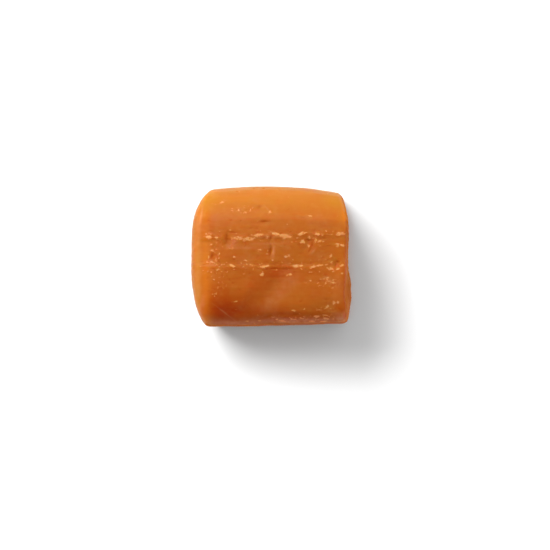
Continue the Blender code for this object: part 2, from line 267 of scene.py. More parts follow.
# Dry, pale flecks of sugar that cling to the two ridges and lie scattered near them.
FLECKS = (
    (-9.8, 3.05, 0, 0.50, 0.24, 0.80), (-9.6, 3.5, 10, 0.32, 0.18, 0.55),
    (-8.5, 2.90, 0, 0.20, 0.16, 0.70), (-8.5, 2.1, -50, 0.22, 0.15, 0.50),
    (-5.8, 2.85, 0, 0.50, 0.15, 0.65), (-4.8, 2.78, -2, 0.65, 0.20, 0.94),
    (-4.2, 2.5, 15, 0.28, 0.20, 0.85), (-3.4, 2.72, 2, 0.62, 0.24, 1.00),
    (-2.1, 3.2, 6, 0.44, 0.23, 1.00), (-1.5, 3.3, -6, 0.38, 0.20, 0.90),
    (-0.7, 3.0, 0, 0.22, 0.13, 0.55), (-2.3, 4.1, 80, 0.20, 0.14, 0.40),
    (0.2, 3.6, -6, 0.60, 0.17, 0.66), (1.2, 3.35, -14, 0.60, 0.22, 0.94),
    (2.1, 3.15, -4, 0.55, 0.28, 1.00), (2.9, 3.0, 0, 0.22, 0.18, 0.90),
    (4.7, 3.5, 20, 0.40, 0.22, 0.95), (5.3, 3.65, 10, 0.28, 0.14, 0.70),
    (5.9, 3.0, 0, 0.24, 0.15, 0.85), (4.8, 2.3, 10, 0.32, 0.24, 0.95),
    (5.8, 1.6, 60, 0.30, 0.15, 0.75), (7.1, 3.5, 0, 0.36, 0.24, 0.90),
    (7.8, 3.4, -30, 0.34, 0.18, 0.75), (9.0, 3.45, 2, 0.90, 0.10, 0.45),
    (10.5, 3.5, 4, 0.44, 0.21, 0.80), (11.1, 3.6, 0, 0.36, 0.20, 0.75),
    (6.8, 2.5, 80, 0.34, 0.15, 0.60), (7.4, 2.3, 0, 0.36, 0.18, 0.90),
    (8.0, 2.25, 0, 0.24, 0.13, 0.60), (7.5, 1.65, -8, 0.34, 0.12, 0.65),
    (10.7, 1.75, -4, 0.58, 0.20, 1.00), (10.0, 1.9, -30, 0.20, 0.12, 0.60),
    (-9.2, 0.90, -20, 0.36, 0.16, 0.80), (-8.5, 1.05, 0, 0.22, 0.18, 0.65),
    (-6.2, 1.25, 0, 0.60, 0.13, 0.50), (-1.7, 1.0, -6, 0.34, 0.10, 0.65),
    (-0.55, 1.0, 75, 0.30, 0.11, 0.60), (-0.6, 0.3, 0, 0.20, 0.12, 0.50),
    (2.5, 0.05, 4, 0.40, 0.16, 1.00), (-5.8, -0.15, 0, 0.20, 0.14, 0.55),
    (9.2, 0.1, 50, 0.28, 0.18, 0.70), (8.4, -0.5, 0, 0.22, 0.14, 0.60),
    (9.2, -0.85, 0, 0.28, 0.14, 0.65), (-9.8, -0.1, 85, 0.30, 0.12, 0.65),
    (-8.2, -0.3, 25, 0.22, 0.10, 0.55), (-9.5, -0.90, -6, 0.46, 0.17, 0.78),
    (-8.8, -0.95, -8, 0.36, 0.11, 0.58), (-7.6, -1.2, 0, 0.32, 0.11, 0.65),
    (-6.2, -1.35, -12, 0.32, 0.15, 0.72), (-5.9, -1.5, -10, 0.28, 0.13, 0.80),
    (-3.1, -1.3, -20, 0.34, 0.13, 0.60), (-2.6, -1.5, -10, 0.28, 0.11, 0.55),
    (-1.3, -1.6, 6, 0.50, 0.18, 1.00), (-0.6, -1.5, 4, 0.42, 0.17, 0.95),
    (0.2, -0.55, 70, 0.22, 0.15, 0.85), (3.9, -1.55, 0, 0.50, 0.19, 1.00),
    (4.6, -1.45, 10, 0.26, 0.17, 0.75), (4.7, -1.9, -40, 0.22, 0.13, 0.60),
    (6.3, -1.65, 12, 0.42, 0.17, 0.78), (6.5, -1.45, 20, 0.20, 0.12, 0.40),
    (7.3, -1.4, 8, 0.56, 0.15, 0.90), (8.6, -1.3, 0, 0.24, 0.12, 0.60),
    (11.0, -1.4, 10, 0.38, 0.18, 0.70), (10.2, -2.0, 30, 0.30, 0.18, 0.65),
    (9.2, -1.9, 10, 0.48, 0.20, 0.60), (6.0, -2.45, 0, 0.50, 0.10, 0.55),
    (-1.4, -2.8, 5, 0.28, 0.21, 0.95), (2.8, -2.85, 6, 0.38, 0.16, 1.00),
    (0.75, -2.1, 70, 0.24, 0.12, 0.50), (-4.3, -2.7, 20, 0.24, 0.12, 0.45),
    (-9.2, -3.1, 0, 0.15, 0.11, 0.60), (-8.95, -3.6, -10, 0.22, 0.12, 0.60),
    (-7.6, -4.4, 0, 0.18, 0.09, 0.65), (-8.0, -4.8, 60, 0.16, 0.11, 0.50),
    (-8.7, -5.8, 0, 0.20, 0.16, 0.60), (-5.6, -7.0, 14, 0.36, 0.11, 0.75),
    (9.7, -7.15, 40, 0.32, 0.20, 0.85), (10.3, -7.05, -30, 0.24, 0.16, 0.80),
    (8.6, -7.8, 60, 0.30, 0.20, 0.85), (3.4, -8.4, 0, 0.22, 0.16, 0.85),
    (5.1, -8.2, 20, 0.18, 0.13, 0.55), (7.0, -9.25, 0, 0.42, 0.12, 0.85),
    (-7.6, 8.5, 15, 0.42, 0.20, 0.50), (-8.8, 8.05, 0, 0.70, 0.13, 0.45),
    (-4.0, 7.7, 0, 0.55, 0.20, 0.40), (-5.1, 7.15, 0, 0.20, 0.10, 0.75),
    (-6.0, 6.95, 0, 0.18, 0.10, 0.60), (-4.0, 6.8, 0, 0.22, 0.12, 0.85),
    (-3.3, 7.2, 90, 0.18, 0.09, 0.70), (-0.25, 6.95, 50, 0.24, 0.15, 0.75),
    (5.95, 6.2, 0, 0.26, 0.15, 0.90), (3.2, 4.0, -8, 0.50, 0.13, 0.40),
    (-6.4, 4.15, -30, 0.24, 0.15, 0.55), (-5.1, 4.15, 0, 0.24, 0.10, 0.50),
    (10.2, 6.2, 90, 0.18, 0.10, 0.45), (7.9, -3.5, 10, 0.50, 0.10, 0.58),
    (8.5, -3.7, -25, 0.40, 0.10, 0.66), (9.1, -3.95, -35, 0.40, 0.12, 0.68),
    (9.65, -4.05, -5, 0.32, 0.12, 0.72), (9.5, -3.7, 5, 0.36, 0.09, 0.60),
    (7.3, -4.15, 15, 0.30, 0.12, 0.50), (8.1, -4.6, -10, 0.35, 0.11, 0.58),
    (9.5, -4.75, 25, 0.35, 0.11, 0.62), (7.3, -4.6, 0, 0.40, 0.09, 0.50),
    (6.1, -3.7, 0, 0.30, 0.12, 0.55), (10.9, -2.7, 0, 0.25, 0.13, 0.60),
    (8.8, -5.7, 0, 0.40, 0.10, 0.45), (9.4, -2.3, 0, 0.60, 0.10, 0.55),
    (8.2, -9.15, 0, 0.28, 0.11, 0.70), (8.9, -9.35, -40, 0.34, 0.12, 0.78),
    (8.5, -9.65, 0, 0.44, 0.13, 0.75), (9.2, -9.2, 60, 0.30, 0.12, 0.65),
    (6.2, -10.1, 0, 0.42, 0.13, 0.62), (8.2, -10.10, 0, 0.50, 0.13, 0.62),
    (4.9, -9.65, 10, 0.34, 0.12, 0.70), (3.0, -9.65, -6, 0.34, 0.12, 0.75),
    (1.2, -10.0, 0, 0.44, 0.12, 0.60), (1.8, -10.10, 8, 0.42, 0.11, 0.55),
    (-3.6, -10.0, 0, 0.40, 0.12, 0.55), (-1.8, -10.0, 0, 0.35, 0.12, 0.60),
    (7.7, -8.05, 70, 0.30, 0.14, 0.60), (7.2, -8.3, 0, 0.35, 0.12, 0.50),
)
# Small pits, folds and crevices.
CREVICES = (
    (-6.9, 3.0, 88, 0.80, 0.18, 0.60), (-6.3, 3.75, 0, 0.60, 0.16, 0.45),
    (-0.15, 0.85, 84, 0.62, 0.18, 0.95), (-0.1, 2.8, 65, 0.60, 0.20, 0.60),
    (-9.2, 0.1, 70, 0.50, 0.28, 0.70), (-2.2, -0.1, 60, 0.30, 0.22, 0.35),
    (5.9, 2.5, 0, 0.35, 0.20, 0.60), (6.35, 1.9, 80, 0.50, 0.16, 0.65),
    (6.0, 1.0, 55, 0.40, 0.15, 0.65), (4.3, 1.9, 20, 0.40, 0.16, 0.35),
    (10.4, -0.85, 0, 0.38, 0.24, 0.75), (9.9, -1.3, 88, 0.50, 0.13, 0.55),
    (-6.3, 5.6, 0, 0.24, 0.16, 0.45), (-4.8, 5.5, 20, 0.16, 0.12, 0.50),
    (-1.1, 5.4, 4, 0.66, 0.17, 0.70), (4.8, 6.0, 0, 0.40, 0.15, 0.35),
    (-1.9, 7.65, 20, 0.40, 0.26, 0.40), (0.4, -1.9, 4, 0.62, 0.16, 0.90),
    (2.0, -1.9, 0, 1.40, 0.24, 0.50), (-5.9, -0.45, 0, 0.20, 0.12, 0.40),
    (-3.8, -7.7, 60, 0.20, 0.16, 0.30), (-3.5, -8.8, 70, 0.34, 0.24, 0.40),
    (-0.4, -9.3, 10, 0.60, 0.26, 0.70), (3.9, -9.05, 4, 0.62, 0.18, 0.80),
    (4.5, -7.05, 10, 0.32, 0.14, 0.35), (1.4, -8.9, 0, 0.90, 0.30, 0.40),
    (8.0, -9.1, 0, 0.35, 0.16, 0.45),
)
# Thin raised edges: a scratch across the front corner, a tick, folds beside the crevices, and a
# streak down the turn of the dome, whose pale film is a painted highlight.
RAISED_LINES = (
    (-7.25, -8.75, -38, 1.70, 0.09, 0.60), (-0.7, 7.45, -52, 0.60, 0.11, 0.50),
    (0.35, 0.80, 86, 1.00, 0.20, 0.95), (6.5, 0.8, 52, 0.62, 0.15, 0.70),
    (-10.95, 6.2, 82, 1.40, 0.17, 1.00), (-5.9, 2.2, 60, 0.70, 0.28, 0.35),
)

# Tone runs from 0, deep red-brown, to 1, the palest caramel. It is painted paler up the back
# shoulder, which faces the light; its patches are partly painted shade, mostly on the front, which
# faces away from the light, and in the groove behind the lip of the cut end.
TONE_IN_THE_BAND = 0.68
TONE_AND_SHADE_PATCHES = (
    (-7.9, -8.2, -16, 3.1, 2.7, -0.62), (-2.2, -8.8, 0, 4.6, 1.4, -0.34),
    (-2.6, -5.4, 44, 3.6, 1.8, -0.20), (1.4, -2.3, 12, 2.0, 0.8, -0.26),
    (1.6, -1.95, 0, 1.7, 0.30, -0.16), (4.4, -9.2, 0, 3.6, 0.7, -0.36),
    (1.6, -9.3, 0, 2.2, 0.4, -0.25), (10.6, -8.0, 0, 0.8, 0.7, -0.12),
    (10.9, -9.3, 20, 1.0, 0.5, 0.16), (-5.6, 8.6, 0, 3.4, 1.4, 0.08),
    (11.9, -3.0, 90, 6.0, 0.6, -0.16), (-4.4, 0.1, 0, 2.4, 0.8, -0.10),
    (11.9, -5.4, 90, 2.4, 0.7, -0.50), (0.0, -4.0, 0, 11.0, 3.2, -0.05),
    (-9.6, 9.6, 42, 2.4, 0.5, -0.08), (1.0, 10.6, 0, 6.0, 0.5, -0.10),
    (2.2, -3.1, 12, 3.4, 1.2, -0.10), (1.6, -7.9, 0, 3.4, 0.9, -0.07),
    (0.4, -9.9, 0, 4.4, 0.5, -0.12),
)
# Painted glow: yellow where light shines through the piece, mostly at the back corners and at the
# top of the cut end.
GLOW_PATCHES = (
    (-9.5, 8.6, 50, 1.8, 1.2, 0.60), (9.9, 9.0, -30, 1.9, 1.3, 1.00),
    (11.0, 7.0, 90, 3.0, 0.8, 0.50), (11.3, 7.8, -70, 1.2, 0.4, 0.90),
    (10.8, -8.2, 0, 0.7, 0.8, 0.50),
)
# Where most light gathers in the caramel, along the turns of the ends.
BRIGHT_PATCHES = (
    (-10.2, -3.0, 90, 9.0, 0.7, 0.60), (10.0, -5.6, 80, 2.6, 1.3, 0.22),
    (10.4, -0.5, 90, 5.0, 0.9, 0.30), (11.7, -2.5, 90, 8.0, 0.5, 0.30),
    (11.5, 6.8, 90, 2.2, 0.6, 1.00), (-10.1, -10.1, 0, 0.9, 0.9, 0.80),
    (-11.4, -2.0, 90, 8.5, 0.6, 0.40),
)
# A dull pink tint: on the steep rims along the front edge, on the corners and beside the cut end it
# is a painted reflection of the floor; beside the marks on the top it is a pink film.
BLUSH_AND_REFLECTION_PATCHES = (
    (5.0, -10.05, 0, 6.6, 0.50, 0.27), (-5.0, -10.4, 0, 5.0, 0.45, 0.18),
    (11.0, -9.4, 20, 1.3, 0.75, 0.33), (12.1, -8.2, 80, 1.8, 0.3, 0.12),
    (11.6, -2.2, 90, 2.6, 0.22, 0.16), (11.45, -5.0, 90, 2.4, 0.12, 0.16),
    (12.4, -5.0, 90, 2.4, 0.14, 0.10), (-11.3, -3.0, 90, 6.5, 0.45, 0.09),
    (-11.2, -8.4, 74, 2.4, 0.5, 0.15), (-11.4, 3.0, 90, 2.6, 0.4, 0.12),
    (2.0, -5.0, 50, 2.6, 1.0, 0.08), (10.2, -5.2, 90, 2.4, 0.9, 0.05),
    (-5.9, 2.2, 70, 0.75, 0.42, 0.22), (-0.7, 2.0, 0, 2.2, 0.16, 0.10),
    (-4.6, 1.3, 0, 2.0, 0.14, 0.10),
)
# Deep, dark caramel: partly clear caramel, partly painted shade in the crevices and in the groove
# behind the lip of the cut end.
DEEP_AND_SHADED_PATCHES = (
    (10.6, -8.0, 0, 0.80, 0.75, 1.00), (11.8, -5.4, 90, 1.50, 0.36, 1.00),
    (11.8, -7.6, 80, 1.30, 0.16, 0.60), (6.8, -8.85, 0, 3.0, 0.34, 0.55),
    (2.6, -9.20, 0, 2.4, 0.26, 0.85), (2.0, -1.80, 0, 1.70, 0.34, 0.90),
    (-6.9, 3.0, 90, 1.00, 0.38, 1.00), (-6.1, 3.70, 0, 0.60, 0.30, 0.80),
    (-0.1, 2.9, 60, 0.60, 0.22, 0.60), (-0.15, 0.8, 86, 0.80, 0.20, 0.70),
    (0.3, -1.75, 4, 0.80, 0.28, 1.00), (6.2, 2.0, 75, 0.90, 0.34, 0.90),
    (5.9, 2.7, 0, 0.40, 0.30, 0.80), (-1.1, 5.4, 4, 0.66, 0.17, 0.50),
    (-9.3, 4.4, 90, 0.9, 0.5, 0.30), (-9.1, -0.1, 85, 0.78, 0.42, 0.90),
    (-1.9, 7.65, 20, 0.42, 0.28, 0.40), (10.3, -1.0, 90, 0.60, 0.30, 0.50),
)
# A painted golden sheen on the rim of the back corners and of the dome, where the rim turns towards
# the light.
GOLDEN_SHEEN_PATCHES = (
    (-10.0, 9.2, 50, 2.4, 1.1, 0.75), (-8.0, 10.7, 8, 3.2, 0.45, 0.50),
    (10.2, 9.3, -30, 1.6, 0.9, 0.50), (-11.4, -2.6, 90, 7.6, 0.50, 0.80),
    (3.5, 10.9, 0, 5.0, 0.45, 0.35),
)
# Skin too matt for a clear highlight.
MATT_PATCHES = (
    (-10.2, 6.2, 82, 2.6, 0.9, 0.90), (-9.0, 7.6, 20, 2.2, 1.0, 0.40),
)
# Where the top near the back left corner takes the lit copy of the caramel as well.
LIT_SIDE_PATCHES = (
    (-8.6, 10.5, 10, 3.6, 0.6, 0.80), (-10.9, 8.6, 58, 3.0, 0.6, 0.70),
)
# A thin, pale, dull film lies on the parts that were handled most. Along the rims of the cut end,
# on the front corners and along the front edge it is partly a painted sheen of reflected light.
FILM_AND_SHEEN_PATCHES = (
    (11.7, -2.0, 90, 9.0, 0.45, 0.06), (11.3, -9.9, 0, 1.2, 0.45, 0.40),
    (3.0, -10.2, 0, 9.0, 0.5, 0.10), (-0.6, -7.4, 44, 1.8, 0.8, 0.06),
    (8.9, -3.6, -16, 1.6, 0.7, 0.06), (-10.4, -10.2, 60, 1.0, 0.7, 0.26),
    (-8.0, 10.4, 0, 3.0, 0.5, 0.06), (-4.0, 1.4, 0, 2.4, 0.35, 0.10),
    (-1.2, 1.9, 0, 1.4, 0.22, 0.10), (-0.4, 3.1, 0, 2.4, 0.28, 0.16),
    (-0.8, 1.4, 0, 0.5, 0.2, 0.14), (11.3, 7.9, -70, 1.3, 0.4, 0.22),
    (11.6, 6.6, 90, 1.2, 0.35, 0.14),
)
# Where the skin is crystalline and rough to the touch.
ROUGH_PATCHES = (
    (9.0, -3.8, -12, 1.9, 0.8, 1.0), (8.6, -7.8, 20, 2.0, 1.0, 0.7), (4.0, -9.8, 0, 8.0, 0.7, 0.8),
    (0.0, 3.0, 2, 12.0, 0.7, 0.7), (0.0, -1.5, 0, 12.0, 0.5, 0.6), (-9.0, 1.0, 90, 2.4, 0.9, 0.5),
)
# The front edge, where the flecks take a painted pink reflection, and the painted shade of the dark
# line under it.
FRONT_REFLECTION_STRIP = (4.0, -9.9, 0, 9.0, 0.9, 1.0)
SHADED_FRONT_RIM = (6.5, -10.7, 0, 5.5, 0.35, 1.0)

# Past this many half lengths from its middle, a mark is too faint to count.
MARK_REACH = 2.5


def stroke(x, y, mark):
    """A soft mark, 1 at its middle, at places given in millimetres."""
    centre_x, centre_y, angle, half_length, half_width, _ = mark
    cosine, sine = math.cos(math.radians(angle)), math.sin(math.radians(angle))
    along = ((x - centre_x) * cosine + (y - centre_y) * sine) / half_length
    across = ((y - centre_y) * cosine - (x - centre_x) * sine) / half_width
    return np.exp(-(along**2) - across**2)


def strongest(x, y, marks):
    """Each place takes the strongest of the marks there, so that crowded marks don't pile up."""
    field = np.zeros(len(x))
    for mark in marks:
        centre_x, centre_y, _, half_length, _, strength = mark
        reach = MARK_REACH * half_length
        near = np.flatnonzero((np.abs(x - centre_x) < reach) & (np.abs(y - centre_y) < reach))
        field[near] = np.maximum(field[near], strength * stroke(x[near], y[near], mark))
    return field


def summed(x, y, marks):
    """Each place takes the sum of the marks there, lighter and darker ones alike."""
    return sum(mark[-1] * stroke(x, y, mark) for mark in marks)


def widened(mark, times):
    """The same mark, so many times as long and as wide."""
    x, y, angle, half_length, half_width, strength = mark
    return (x, y, angle, half_length * times, half_width * times, strength)


# Where small specks are strewn: (x, y, angle, half length, half width, how many).
SPECK_FIELDS = (
    (0.0, 3.0, 2, 11.0, 1.1, 90), (0.0, -1.5, 0, 11.0, 0.8, 80), (-8.6, 0.5, 90, 3.2, 0.8, 34),
    (4.0, -9.6, 0, 7.0, 0.6, 90), (9.0, -3.8, -14, 1.6, 0.7, 46), (8.8, -8.0, 20, 2.0, 0.8, 34),
    (-8.0, -4.2, 60, 2.2, 0.8, 24), (-4.4, 7.2, 0, 1.8, 0.5, 16), (0.0, 0.0, 0, 10.5, 8.0, 60),
)
# Specks lie near the long axis of their field: the usual distance from it, in half widths.
SPECK_SPREAD = 0.6
# The usual turn of a speck away from the rope's direction, in degrees.
SPECK_TURN = 35
# The least and the most of each: half length and half width in millimetres, and strength.
SPECK_HALF_LENGTHS = (0.12, 0.30)
SPECK_HALF_WIDTHS = (0.08, 0.14)
SPECK_STRENGTHS = (0.25, 0.85)
# Makes faint specks more common than strong ones.
SPECK_FAINTNESS = 1.3


def strewn_specks(fields, seed):
    """Small marks in the form that stroke takes, thick in the middle of each field."""
    draw = np.random.RandomState(seed)
    specks = []
    for centre_x, centre_y, angle, half_length, half_width, count in fields:
        cosine, sine = math.cos(math.radians(angle)), math.sin(math.radians(angle))
        for _ in range(count):
            along = draw.uniform(-1, 1) * half_length
            across = draw.normal(0, SPECK_SPREAD) * half_width
            specks.append(
                (
                    centre_x + along * cosine - across * sine,
                    centre_y + along * sine + across * cosine,
                    draw.normal(0, SPECK_TURN),
                    draw.uniform(*SPECK_HALF_LENGTHS),
                    draw.uniform(*SPECK_HALF_WIDTHS),
                    draw.uniform(*SPECK_STRENGTHS) ** SPECK_FAINTNESS,
                )
            )
    return specks


# ---------------------------------------------------------------- the body


# Points of the solid that lie closer than this are one point.
WELD_DISTANCE = 1e-7
# Triangles within these angles, in degrees, join into four-sided faces.
JOIN_FACE_ANGLE = 60
JOIN_SHAPE_ANGLE = 50
# Points below this lie on the floor, and the edges between them stay sharp.
BASE_LEVEL = 1e-6


def refined_copy(source, name, fineness):
    """A closed quad mesh in the form of the solid, smoothed and cut fine."""
    shape = bmesh.new()
    shape.from_mesh(source.data)
    bmesh.ops.remove_doubles(shape, verts=shape.verts, dist=WELD_DISTANCE)
    bmesh.ops.join_triangles(
        shape,
        faces=shape.faces,
        angle_face_threshold=math.radians(JOIN_FACE_ANGLE),
        angle_shape_threshold=math.radians(JOIN_SHAPE_ANGLE),
    )
    crease = shape.edges.layers.float.new("crease_edge")
    for edge in shape.edges:
        if all(vert.co.z < BASE_LEVEL for vert in edge.verts):
            edge[crease] = 1.0
    mesh = bpy.data.meshes.new(name)
    shape.to_mesh(mesh)
    shape.free()
    piece = bpy.data.objects.new(name, mesh)
    bpy.context.scene.collection.objects.link(piece)
    refine = piece.modifiers.new("Refine", "SUBSURF")
    refine.levels = refine.render_levels = fineness
    graph = bpy.context.evaluated_depsgraph_get()
    fine = bpy.data.meshes.new_from_object(piece.evaluated_get(graph))
    piece.modifiers.clear()
    piece.data = fine
    fine.name = name
    bpy.data.meshes.remove(mesh)
    return piece


def arrays_of(mesh):
    """The places and the normals of the mesh's points, one row for each."""
    places = np.empty(len(mesh.vertices) * 3, np.float32)
    mesh.vertices.foreach_get("co", places)
    normals = np.empty(len(mesh.vertices) * 3, np.float32)
    mesh.vertex_normals.foreach_get("vector", normals)
    return places.reshape(-1, 3).astype(float), normals.reshape(-1, 3).astype(float)


def store(mesh, name, values):
    """Keeps one number for each point of the mesh, for the material to read."""
    layer = mesh.attributes.new(name, "FLOAT", "POINT")
    layer.data.foreach_set("value", values.astype(np.float32))


# ---------------------------------------------------------------- the skin


# Which way the skin faces, by its normal: (where a kind of skin begins, where it is full).
FACING_TOP = (0.1, 0.45)
FACING_UP = (-0.1, 0.2)
FACING_END = (0.45, 0.8)
SIDE_TO_TOP = (0.35, 0.7)
STEEP_TO_TOP = (0.25, 0.7)
# Sides facing away from the light, where the shaded copy of the caramel is painted.
LIT_TO_SHADED_SIDE = (-0.2, 0.6)
# Places on the piece, in millimetres: (where a zone begins, where it is full).
# The tone is painted paler up the back shoulder, which faces the light.
BACK_SHOULDER = (5.0, 9.0)
UPPER_HALF = (5.5, 7.5)
CLEAR_OF_FLOOR = (0.0, 0.4)

# The uneven patterns of the skin: seed step, size (one for all axes or one for each), layers, gain.
# Sizes are in millimetres, but those of lines, grain and crumbs are in their own pitch or size.
PATTERNS = {
    "drawn_lines": (0, (9.0, 1.0, 1.0), 3, 0.6),
    "knife_lines": (8, (1.0, 1.0, 8.0), 3, 0.6),
    "fray_along": (1, 0.5, 2, 0.5),
    "fray_across": (4, 0.5, 2, 0.5),
    "lumps": (7, 0.45, 2, 0.7),
    "patches": (20, 3.4, 2, 0.5),
    "grain": (30, 1.0, 2, 0.5),
    "veins": (40, (9.0, 1.1, 1.1), 4, 0.5),
    "mottle": (45, 1.1, 2, 0.8),
    "tones": (50, 2.6, 3, 0.5),
    "handled": (80, (5.0, 2.2, 2.2), 3, 0.5),
    "crumbs": (90, 1.0, 2, 0.5),
    "crumb_fields": (95, 2.6, 2, 0.5),
    "dents": (97, 0.8, 1, 0.5),
    "scores": (110, 0.9, 3, 0.6),
}
SPECK_SEED_STEP = 60
PIT_SEED_STEP = 70
# How much of a pattern shows: (where it begins, where it is full).
PATCH_EDGE = (0.15, 0.7)
CRUMB_EDGE = (0.55, 0.95)
CRUMB_FIELD_EDGE = (-0.1, 0.4)
DENT_EDGE = (0.50, 0.85)

# The size of a crumb along each axis, in millimetres. On the sides it is drawn out along the rope.
CRUMB_ON_SIDE = np.array([1.1, 0.42, 0.42])
CRUMB_ON_END = np.array([0.5, 0.5, 0.6])

# The knife's scores on the cut end bow and slant: their bow for each millimetre squared below
# KNIFE_TOP, and their slant for each millimetre of height.
KNIFE_TOP = 14.0
KNIFE_BOW = 0.035
KNIFE_SLANT = 0.35
# The skin seen edge on around the cut end: the half width and half height of that end in
# millimetres, and the shares of them between which the rind sets in.
RIND_HALF_WIDTH = 10.6
RIND_HALF_HEIGHT = 6.1
RIND = (0.72, 1.0)

# How far the outlines of marks wobble, in millimetres, and how much of that each kind has.
FRAY_ALONG = 0.20
FRAY_ACROSS = 0.14
FLECK_FRAY = 1.0
CREVICE_FRAY = 0.5
RAISED_LINE_FRAY = 0.25

FLECK_WIDENING = 1.25
FLECK_LUMPINESS = 0.7
MOST_LUMP = 0.5
ROUGH_EVERYWHERE = 0.10
ROUGH_IN_PATCHES = 0.45
# How strong small marks are beside a full fleck, crevice or raised edge.
SPECK_SHARE = 0.8
CRUMB_SHARE = 0.7
PIT_SHARE = 0.5
DENT_SHARE = 0.7
RAISED_LINE_SHARE = 0.5


def pattern(name, places, seed, unit=MM):
    """One of the uneven patterns, about -1 to 1 at each place, with its size in the unit."""
    step, size, layers, gain = PATTERNS[name]
    return layered_noise(places / (np.array(size) * unit), seed + step, layers, gain)


def read_facing(places, normals):
    """Where each point lies, in millimetres, and which way the skin faces there."""
    x, y, z = places.T / MM
    end_face = rise(np.abs(normals[:, 0]), *FACING_END)
    return SimpleNamespace(
        places=places,
        x=x,
        y=y,
        z=z,
        top=rise(normals[:, 2], *FACING_TOP),
        upward=rise(normals[:, 2], *FACING_UP),
        below_top=1 - rise(normals[:, 2], *SIDE_TO_TOP),
        steep=1 - rise(normals[:, 2], *STEEP_TO_TOP),
        away_from_light=rise(normals[:, 0] - normals[:, 1], *LIT_TO_SHADED_SIDE),
        end_face=end_face,
        cut_face=end_face * (normals[:, 0] > 0),
    )


def read_patterns(at, skin):
    """Adds the uneven patterns that run over the whole skin."""
    places, seed = at.places, skin.seed
    at.drawn = pattern("drawn_lines", places, seed, skin.drawn_line_pitch)
    knife = pattern("knife_lines", places, seed, skin.drawn_line_pitch)
    at.lines = at.drawn * (1 - at.end_face) + knife * at.end_face
    at.patchy = rise(pattern("patches", places, seed), *PATCH_EDGE)
    rough_places = at.top * strongest(at.x, at.y, ROUGH_PATCHES)
    at.rough = np.clip(ROUGH_EVERYWHERE + ROUGH_IN_PATCHES * at.patchy + rough_places, 0, 1)
    at.grain = pattern("grain", places, seed, skin.grain_size)
    at.handled = pattern("handled", places, seed)
    at.mottle = pattern("mottle", places, seed)

    bow = KNIFE_BOW * (at.z - KNIFE_TOP) ** 2
    knife_places = [at.y + bow - KNIFE_SLANT * at.z, at.z / KNIFE_TOP, np.zeros(len(at.x))]
    at.scores = pattern("scores", np.column_stack(knife_places), seed, unit=1.0)
    from_middle = np.abs(at.z / RIND_HALF_HEIGHT - 1)
    at.rind = at.cut_face * rise(np.maximum(np.abs(at.y) / RIND_HALF_WIDTH, from_middle), *RIND)


def read_marks(at, skin):
    """Adds how strong the flecks, the crevices and the raised edges are at each point."""
    places, seed = at.places, skin.seed
    x, y, top = at.x, at.y, at.top

    # Marks have frayed outlines: the places at which they are read wobble a little.
    x_wobble = x + FRAY_ALONG * pattern("fray_along", places, seed)
    y_wobble = y + FRAY_ACROSS * pattern("fray_across", places, seed)

    def frayed(share):
        return (1 - share) * x + share * x_wobble, (1 - share) * y + share * y_wobble

    crumb_size = np.where(at.end_face[:, None] > 0.5, CRUMB_ON_END, CRUMB_ON_SIDE) * MM
    crumbs = rise(pattern("crumbs", places, seed, crumb_size), *CRUMB_EDGE)
    crumbs *= at.below_top * rise(pattern("crumb_fields", places, seed), *CRUMB_FIELD_EDGE)
    dents = rise(pattern("dents", places, seed), *DENT_EDGE) * at.below_top
    lumps = pattern("lumps", places, seed)

    at.clear = strongest(x, y, DEEP_AND_SHADED_PATCHES)
    flecks = strongest(*frayed(FLECK_FRAY), [widened(mark, FLECK_WIDENING) for mark in FLECKS])
    strewn = strewn_specks(SPECK_FIELDS, seed + SPECK_SEED_STEP)
    specks = strongest(*frayed(FLECK_FRAY), strewn) * (1 - at.clear)
    flecks = top * np.maximum(flecks, SPECK_SHARE * specks)
    flecks *= 1.0 + FLECK_LUMPINESS * np.minimum(lumps, MOST_LUMP)

    crevices = top * strongest(*frayed(CREVICE_FRAY), CREVICES)
    strewn = strewn_specks(SPECK_FIELDS, seed + PIT_SEED_STEP)
    pits = top * strongest(*frayed(FLECK_FRAY), strewn)
    crevices = np.maximum(crevices, PIT_SHARE * pits * (1 - flecks))

    at.flecks = np.maximum(flecks, CRUMB_SHARE * crumbs)
    at.crevices = np.maximum(crevices, DENT_SHARE * dents)
    at.raised = top * strongest(*frayed(RAISED_LINE_FRAY), RAISED_LINES)


def relief(at, skin):
    """How far each point stands out along its normal, in metres."""
    height = skin.drawn_line_height * at.lines
    height += skin.grain_height * at.rough * at.grain
    height += at.below_top * (skin.handled_height * at.handled + skin.drawn_line_height * at.lines)
    height += skin.score_height * at.cut_face * at.scores
    height += skin.fleck_height * (at.flecks + RAISED_LINE_SHARE * at.raised)
    height -= skin.crevice_depth * at.crevices
    return height * rise(at.z, *CLEAR_OF_FLOOR)


# How strongly patterns and marks change each kind of caramel.
TONE_UNEVENNESS = 0.07
TONE_MOTTLE = 0.06
TONE_IN_LINES = 0.03
# Painted shade in the crevices, taken off the tone.
CREVICE_SHADE_IN_TONE = 0.15
SHADED_SIDE_AT_LEAST = 0.55
SHADED_SIDE_BY_TONE = 0.45
FILM_IN_PATCHES = 0.05
FILM_AND_HIGHLIGHT_ON_RAISED_LINES = 0.34
FILM_MOTTLE = 0.03
FILM_LOST_WHERE_BRIGHT = 0.9
BLUSH_MOTTLE = 0.5
VEIN_STRENGTH = 0.55
VEINS_FROM_HANDLING = 0.3
VEINS_EVERYWHERE = 0.32
VEINS_BELOW_TOP = 0.68
VEINS_IN_RIND = 0.5
VEINS_IN_SCORES = 0.8
PAINTED_SHADE_UNDER_FRONT = 0.9
PAINTED_SHADE_IN_CREVICES = 0.6
PIT_IN_CREVICES = 1.3
MATT_IN_CREVICES = 1.5


